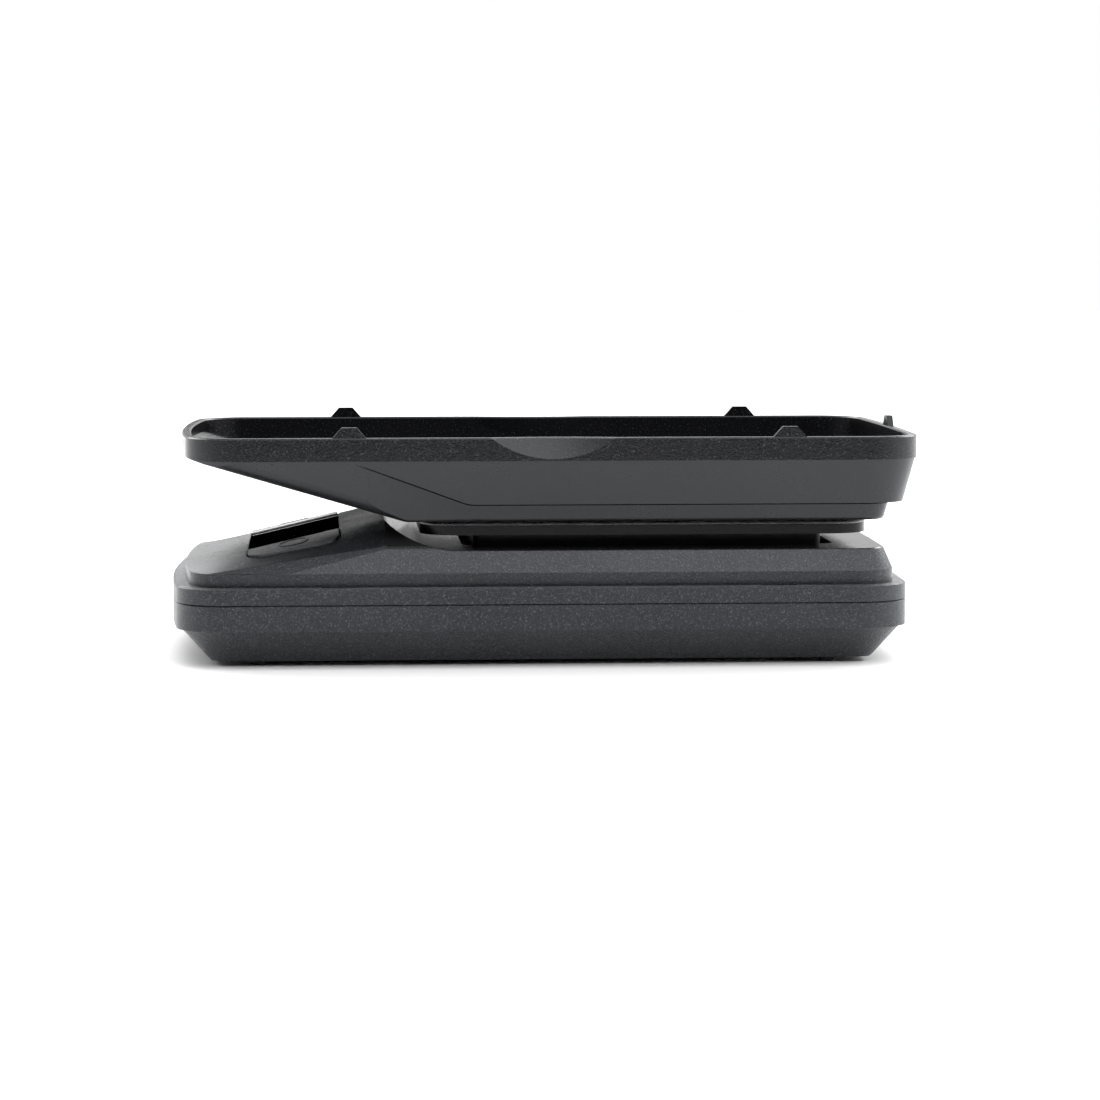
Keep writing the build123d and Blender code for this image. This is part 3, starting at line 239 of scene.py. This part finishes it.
class Finish(Shading):
    """One procedural material. Sizes are in metres."""

    def __init__(self, name):
        self.material = bpy.data.materials.new(name)
        self.material.use_nodes = True
        super().__init__(self.material.node_tree)
        self.shader = self.tree.nodes["Principled BSDF"]
        self.place = self.node("ShaderNodeTexCoord").outputs["Object"]

    def put(self, socket_name, value):
        self.feed(self.shader.inputs[socket_name], value)

    def noise(self, grain, detail=2.0, rough=0.5, along=None):
        """Soft noise with features about grain across; along scales the object's axes first."""
        place = self.place
        if along:
            mapping = self.node("ShaderNodeMapping")
            mapping.inputs["Scale"].default_value = along
            self.feed(mapping.inputs["Vector"], place)
            place = mapping.outputs["Vector"]
        made = self.node("ShaderNodeTexNoise")
        self.feed(made.inputs["Vector"], place)
        made.inputs["Scale"].default_value = 1.0 / grain
        made.inputs["Detail"].default_value = detail
        made.inputs["Roughness"].default_value = rough
        return made.outputs["Fac"]

    def evened(self, noise, to_low=0.0, to_high=1.0):
        """The middle stretch of a noise, spread from to_low to to_high."""
        return self.remap(noise, *NOISE_MIDDLE, to_low, to_high)

    def facets(self, grain):
        """Crisp moulding grain: mostly 0 or 1, with short runs between."""
        return self.remap(self.noise(grain, detail=3.0, rough=0.8), *GRAIN_SPAN)

    def scratches(self, along):
        """Fine parallel scratches; along is small on the axis they follow."""
        return self.noise(SCRATCH_WIDTH, detail=4.0, rough=0.7, along=along)

    def blend(self, share, first, second):
        """A colour running from first to second as share goes from 0 to 1."""
        made = self.node("ShaderNodeMix", data_type="RGBA")
        self.feed(made.inputs["Factor"], share)
        ends = [socket for socket in made.inputs if socket.type == "RGBA"]
        for socket, colour in zip(ends, (first, second)):
            linked = isinstance(colour, bpy.types.NodeSocket)
            self.feed(socket, colour if linked else (*colour, 1.0))
        return next(socket for socket in made.outputs if socket.type == "RGBA")

    def bump(self, pattern, depth, after=None):
        """Surface relief from a pattern, depth metres deep, laid over another relief."""
        made = self.node("ShaderNodeBump")
        made.inputs["Distance"].default_value = depth
        made.inputs["Strength"].default_value = 1.0
        self.feed(made.inputs["Height"], pattern)
        if after:
            self.feed(made.inputs["Normal"], after)
        return made.outputs["Normal"]


def case_plastic(name):
    """Charcoal ABS with a spark-eroded grain; polished in the recess around the pan."""
    finish = Finish(name)
    x, y, z = finish.split(finish.place)
    across = finish.maths("ABSOLUTE", y, 0.0)
    recess = finish.product(
        finish.remap(x, recess_x - recess_end_fade, recess_x),
        finish.falling(across, (recess_half - recess_side_fade, recess_half)),
        finish.remap(z, recess_z - recess_foot_fade, recess_z),
    )
    grain = finish.facets(CASE_GRAIN)
    coarse = finish.noise(CASE_COARSE_GRAIN, rough=0.6)
    specks = finish.remap(finish.noise(CASE_SPECK_GRAIN, rough=0.7), *CASE_SPECK_SPAN)
    patches = finish.noise(CASE_DUST_PATCH, detail=4.0, rough=0.6)
    dusty = finish.remap(patches, *CASE_DUST_SPAN, 0.0, CASE_DUST_SHARE)
    speckled = finish.blend(specks, finish.blend(grain, CASE_DARK, CASE_LIGHT), CASE_SPECK)
    dusted = finish.blend(dusty, speckled, CASE_DUST)
    finish.put("Base Color", finish.blend(recess, dusted, RECESS_GREY))
    cloud = finish.evened(finish.noise(CASE_CLOUD, detail=3.0, rough=0.6), *CASE_ROUGH)
    grained_rough = finish.total(cloud, finish.between(grain, *CASE_GRAIN_ROUGH))
    polish = finish.between(recess, 1.0, RECESS_POLISH)
    finish.put("Roughness", finish.product(grained_rough, polish))
    flatness = finish.between(recess, 1.0, RECESS_RELIEF)
    fine = finish.bump(finish.product(finish.total(coarse, grain), flatness), CASE_RELIEF)
    finish.put("Normal", finish.bump(finish.noise(CASE_WAVE), CASE_WAVE_DEPTH, fine))
    finish.put("Specular Tint", CASE_TINT)
    return finish.material


def cover_plastic(name):
    """Charcoal plastic, grained on the rim band and satin below it."""
    finish = Finish(name)
    height = finish.split(finish.place)["Z"]
    on_band = finish.remap(height, cover_band_z - band_fade, cover_band_z + band_fade)
    grain = finish.facets(COVER_GRAIN)
    specks = finish.remap(finish.noise(COVER_GRAIN, rough=0.7), *COVER_SPECK_SPAN)
    satin = finish.blend(grain, COVER_SATIN_DARK, COVER_SATIN_LIGHT)
    moulded = finish.blend(grain, COVER_BAND_DARK, COVER_BAND_LIGHT)
    grained = finish.blend(specks, moulded, COVER_SPECK)
    finish.put("Base Color", finish.blend(on_band, satin, grained))
    cloud = finish.evened(finish.noise(COVER_CLOUD, detail=3.0, rough=0.6), *COVER_ROUGH)
    satin_rough = finish.total(cloud, finish.between(grain, *COVER_GRAIN_ROUGH))
    polish = finish.between(on_band, 1.0, BAND_POLISH)
    finish.put("Roughness", finish.product(satin_rough, polish))
    relief = finish.product(grain, finish.between(on_band, SATIN_RELIEF, 1.0))
    finish.put("Normal", finish.bump(relief, COVER_RELIEF))
    finish.put("Specular Tint", COVER_TINT)
    finish.put("IOR", COVER_IOR)
    return finish.material


def key_plastic(name):
    """The keys: the case's plastic with a finer, satin face."""
    finish = Finish(name)
    grain = finish.facets(KEY_GRAIN)
    cloud = finish.noise(KEY_CLOUD, detail=3.0, rough=0.6)
    finish.put("Base Color", finish.blend(grain, KEY_DARK, KEY_LIGHT))
    finish.put("Roughness", finish.evened(cloud, *KEY_ROUGH))
    finish.put("Normal", finish.bump(grain, KEY_RELIEF))
    return finish.material


def lens_plastic(name):
    """The display's clear-faced window over its dark mask: polished flat."""
    finish = Finish(name)
    cloud = finish.noise(LENS_CLOUD, detail=1.0)
    finish.put("Base Color", finish.blend(cloud, LENS_DARK, LENS_LIGHT))
    finish.put("Roughness", finish.evened(cloud, *LENS_ROUGH))
    return finish.material


def pan_steel(name):
    """Brushed stainless top; the satin skirt below it is painted near-black as painted shade for
    the cover's shadow and the dark deck.
    """
    finish = Finish(name)
    height = finish.split(finish.place)["Z"]
    scratch = finish.scratches(SCRATCHED_ALONG_X)
    # Below the skirt height the steel's colour is painted shade, darkened for the cover's shadow
    # and the dark it faces.
    clear_of_painted_shade = finish.remap(height, painted_shade_skirt_z - painted_shade_fade, painted_shade_skirt_z + painted_shade_fade)
    steel = finish.blend(finish.evened(scratch), STEEL_DARK, STEEL_LIGHT)
    shaded_skirt = finish.blend(finish.evened(scratch), SKIRT_PAINTED_SHADE_DARK, SKIRT_PAINTED_SHADE_LIGHT)
    finish.put("Base Color", finish.blend(clear_of_painted_shade, shaded_skirt, steel))
    finish.put("Metallic", 1.0)
    finish.put("Roughness", finish.evened(scratch, *STEEL_ROUGH))
    finish.put("Normal", finish.bump(scratch, STEEL_RELIEF))
    return finish.material


def plain_plastic(name, dark, light, roughness, grain=1.2 * MM):
    """Smooth moulded plastic with faint flow marks."""
    finish = Finish(name)
    flow = finish.noise(grain, detail=4.0, rough=0.6, along=(1.0, 0.35, 1.0))
    finish.put("Base Color", finish.blend(finish.evened(flow), dark, light))
    finish.put("Roughness", finish.evened(flow, roughness - 0.06, roughness + 0.06))
    finish.put("Normal", finish.bump(flow, 0.01 * MM))
    return finish.material


def gloss(name, dark, light, roughness):
    """Glossy clear-coated surface with the faintest orange peel."""
    finish = Finish(name)
    peel = finish.noise(PEEL_SIZE, detail=1.0)
    finish.put("Base Color", finish.blend(finish.evened(peel), dark, light))
    finish.put("Roughness", finish.evened(finish.noise(2 * MM), roughness, roughness + 0.03))
    finish.put("Normal", finish.bump(peel, 0.01 * MM))
    finish.put("Coat Weight", PEEL_COAT)
    finish.put("Coat Roughness", PEEL_COAT_ROUGH)
    return finish.material


def brushed_metal(name, dark, light, roughness, along=SCRATCHED_ALONG_X):
    """Metal with fine parallel scratches along one axis."""
    finish = Finish(name)
    scratch = finish.scratches(along)
    finish.put("Base Color", finish.blend(finish.evened(scratch), dark, light))
    finish.put("Metallic", 1.0)
    finish.put("Roughness", finish.evened(scratch, roughness - 0.07, roughness + 0.09))
    finish.put("Normal", finish.bump(scratch, 0.004 * MM))
    return finish.material


def cast_metal(name, dark, light, roughness, grain=0.5 * MM):
    """Bright metal with an even, slightly mottled surface."""
    finish = Finish(name)
    mottle = finish.noise(grain, detail=3.0, rough=0.6)
    finish.put("Base Color", finish.blend(finish.evened(mottle), dark, light))
    finish.put("Metallic", 1.0)
    finish.put("Roughness", finish.evened(mottle, roughness - 0.05, roughness + 0.08))
    finish.put("Normal", finish.bump(mottle, 0.006 * MM))
    return finish.material


def rubber(name, dark, light):
    """Matt rubber with a fine powdery grain."""
    finish = Finish(name)
    powder = finish.noise(POWDER_GRAIN, detail=3.0, rough=0.7)
    finish.put("Base Color", finish.blend(finish.remap(powder, *POWDER_SPAN), dark, light))
    finish.put("Roughness", finish.evened(powder, *POWDER_ROUGH))
    finish.put("Normal", finish.bump(powder, 0.02 * MM))
    return finish.material


def woven_laminate(name, dark, light):
    """Solder mask over the weave of a glass-fibre board."""
    finish = Finish(name)
    warp = finish.noise(WEAVE_GRAIN, detail=1.0, along=(0.2, 1.0, 1.0))
    weft = finish.noise(WEAVE_GRAIN, detail=1.0, along=(1.0, 0.2, 1.0))
    weave = finish.product(warp, weft)
    finish.put("Base Color", finish.blend(finish.remap(weave, *WEAVE_SPAN), dark, light))
    finish.put("Roughness", finish.remap(weave, *WEAVE_SPAN, *WEAVE_ROUGH))
    finish.put("Normal", finish.bump(weave, 0.02 * MM))
    return finish.material


# Each material slot's kind of finish and what that takes: dark colour, light colour, mean
# roughness, then the grain's size or, for a brushed metal, the scale along each axis.
SLOTS = {
    "case_plastic": (case_plastic,),
    "cover_plastic": (cover_plastic,),
    "carrier_plastic": (plain_plastic, (0.006, 0.006, 0.007), (0.011, 0.011, 0.012), 0.5),
    "stainless": (pan_steel,),
    "key_plastic": (key_plastic,),
    "lens_plastic": (lens_plastic,),
    "lcd_glass": (gloss, (0.08, 0.09, 0.075), (0.1, 0.11, 0.09), 0.08),
    "backlight_plastic": (plain_plastic, (0.6, 0.62, 0.64), (0.7, 0.72, 0.73), 0.35),
    "elastomer": (rubber, (0.3, 0.12, 0.1), (0.38, 0.16, 0.13)),
    "board_laminate": (woven_laminate, (0.006, 0.06, 0.022), (0.012, 0.1, 0.04)),
    "epoxy": (plain_plastic, (0.006, 0.006, 0.006), (0.012, 0.012, 0.012), 0.22),
    "component_ceramic": (plain_plastic, (0.3, 0.21, 0.12), (0.4, 0.3, 0.18), 0.5, 0.3 * MM),
    "crystal_metal": (cast_metal, (0.6, 0.6, 0.6), (0.72, 0.72, 0.71), 0.25),
    "switch_plastic": (plain_plastic, (0.012, 0.012, 0.013), (0.02, 0.02, 0.02), 0.45),
    "plunger_plastic": (plain_plastic, (0.35, 0.3, 0.2), (0.42, 0.36, 0.25), 0.4),
    "cell_aluminium": (brushed_metal, (0.62, 0.63, 0.65), (0.76, 0.77, 0.78), 0.3),
    "gauge_foil": (brushed_metal, (0.5, 0.32, 0.12), (0.62, 0.42, 0.2), 0.35, (0.1, 1.0, 1.0)),
    "sealant": (plain_plastic, (0.62, 0.6, 0.55), (0.72, 0.7, 0.64), 0.4),
    "screw_steel": (cast_metal, (0.42, 0.42, 0.43), (0.58, 0.58, 0.58), 0.3, 0.3 * MM),
    "foam_tape": (rubber, (0.55, 0.53, 0.48), (0.68, 0.66, 0.6)),
    "battery_jacket": (plain_plastic, (0.02, 0.05, 0.11), (0.03, 0.07, 0.14), 0.25),
    "contact_steel": (cast_metal, (0.5, 0.5, 0.48), (0.66, 0.65, 0.62), 0.3, 0.4 * MM),
    "lead_insulation": (plain_plastic, (0.3, 0.015, 0.012), (0.4, 0.025, 0.02), 0.35, 0.5 * MM),
    "foot_rubber": (rubber, (0.012, 0.012, 0.013), (0.024, 0.024, 0.026)),
}


def dress_cad_pieces():
    """Gives each CAD node the finish that its material slot names."""
    finishes = {slot: make(slot, *values) for slot, (make, *values) in SLOTS.items()}
    for subpart in frame["record"]["subparts"]:
        mesh = frame["nodes"][subpart["node"]].data
        mesh.materials.clear()
        mesh.materials.append(finishes[subpart["material_slot"]])


def floor():
    """A pale table top. It ends in front of the object, short of the camera, out of view."""
    half = FLOOR_SIZE / 2
    mesh = bpy.data.meshes.new("floor")
    corners = [(-half, FLOOR_FRONT, 0), (half, FLOOR_FRONT, 0), (half, half, 0), (-half, half, 0)]
    mesh.from_pydata(corners, [], [(0, 1, 2, 3)])
    made = bpy.data.objects.new("floor", mesh)
    bpy.context.collection.objects.link(made)
    made.location.z = cad_low[2] - FLOOR_GAP
    finish = Finish("floor_white")
    finish.put("Base Color", finish.blend(finish.noise(FLOOR_MOTTLE), FLOOR_DARK, FLOOR_LIGHT))
    finish.put("Roughness", 0.9)
    finish.put("Specular IOR Level", 0.1)
    mesh.materials.append(finish.material)


def studio_sky():
    """A white studio: soft boxes behind, in front above and on the right, dark around the camera.

    A narrow black flag stands low behind the object, as a photographer places one to keep a
    polished window black. The camera itself sees plain white.
    """
    world = bpy.data.worlds.new("studio")
    bpy.context.scene.world = world
    world.use_nodes = True
    sky = Shading(world.node_tree)
    background = sky.tree.nodes["Background"]
    background.inputs["Color"].default_value = (1.0, 1.0, 1.0, 1.0)
    right, ahead, up = sky.split(sky.node("ShaderNodeTexCoord").outputs["Generated"])
    front = sky.product(sky.falling(ahead, FRONT_AHEAD), sky.falling(up, FRONT_UP))
    flag = sky.product(
        sky.remap(right, *FLAG_LEFT),
        sky.falling(right, FLAG_RIGHT),
        sky.remap(ahead, *FLAG_AHEAD),
        sky.falling(up, FLAG_TOP),
    )
    lit_front = sky.maths("SUBTRACT", 1.0, sky.product(front, 1.0 - SKY_FRONT))
    open_sky = sky.product(lit_front, sky.maths("SUBTRACT", 1.0, flag), SKY_BRIGHT)
    back_box = sky.product(
        sky.remap(ahead, *BACK_BOX_AHEAD, 0.0, BACK_BOX),
        sky.remap(up, *BACK_BOX_FOOT),
        sky.falling(up, BACK_BOX_TOP),
    )
    front_box = sky.product(
        sky.remap(right, *FRONT_BOX_RIGHT, FRONT_BOX_LEFT_SHARE, 1.0),
        sky.remap(ahead, *FRONT_BOX_AHEAD, FRONT_BOX, 0.0),
        sky.remap(up, *FRONT_BOX_UP),
    )
    side_box = sky.product(
        sky.remap(right, *SIDE_BOX_RIGHT, 0.0, SIDE_BOX),
        sky.remap(up, *SIDE_BOX_UP),
    )
    shine = sky.total(open_sky, sky.total(back_box, front_box, side_box))
    seen = sky.node("ShaderNodeLightPath").outputs["Is Camera Ray"]
    sky.feed(background.inputs["Strength"], sky.maths("MAXIMUM", shine, seen))


def overhead_light():
    """A square soft light above the object, shining straight down at its middle."""
    data = bpy.data.lights.new("overhead", "AREA")
    data.size = OVERHEAD_SIZE
    data.energy = OVERHEAD_POWER
    made = bpy.data.objects.new("overhead", data)
    bpy.context.collection.objects.link(made)
    made.location = OVERHEAD_PLACE
    made.rotation_euler = (-Vector(OVERHEAD_PLACE)).to_track_quat("-Z", "Y").to_euler()


def camera():
    """A long lens low over the table, square to the long side."""
    data = bpy.data.cameras.new("camera")
    data.lens = LENS_MM
    data.sensor_width = SENSOR_MM
    data.clip_start = CLIP_NEAR
    data.clip_end = CLIP_FAR
    made = bpy.data.objects.new("camera", data)
    bpy.context.collection.objects.link(made)
    made.location = CAMERA_PLACE
    made.rotation_euler = Euler((math.pi / 2 - CAMERA_PITCH, 0, CAMERA_YAW))
    bpy.context.scene.camera = made


dress_cad_pieces()
floor()
studio_sky()
overhead_light()
camera()
bpy.context.scene.view_settings.view_transform = "Standard"
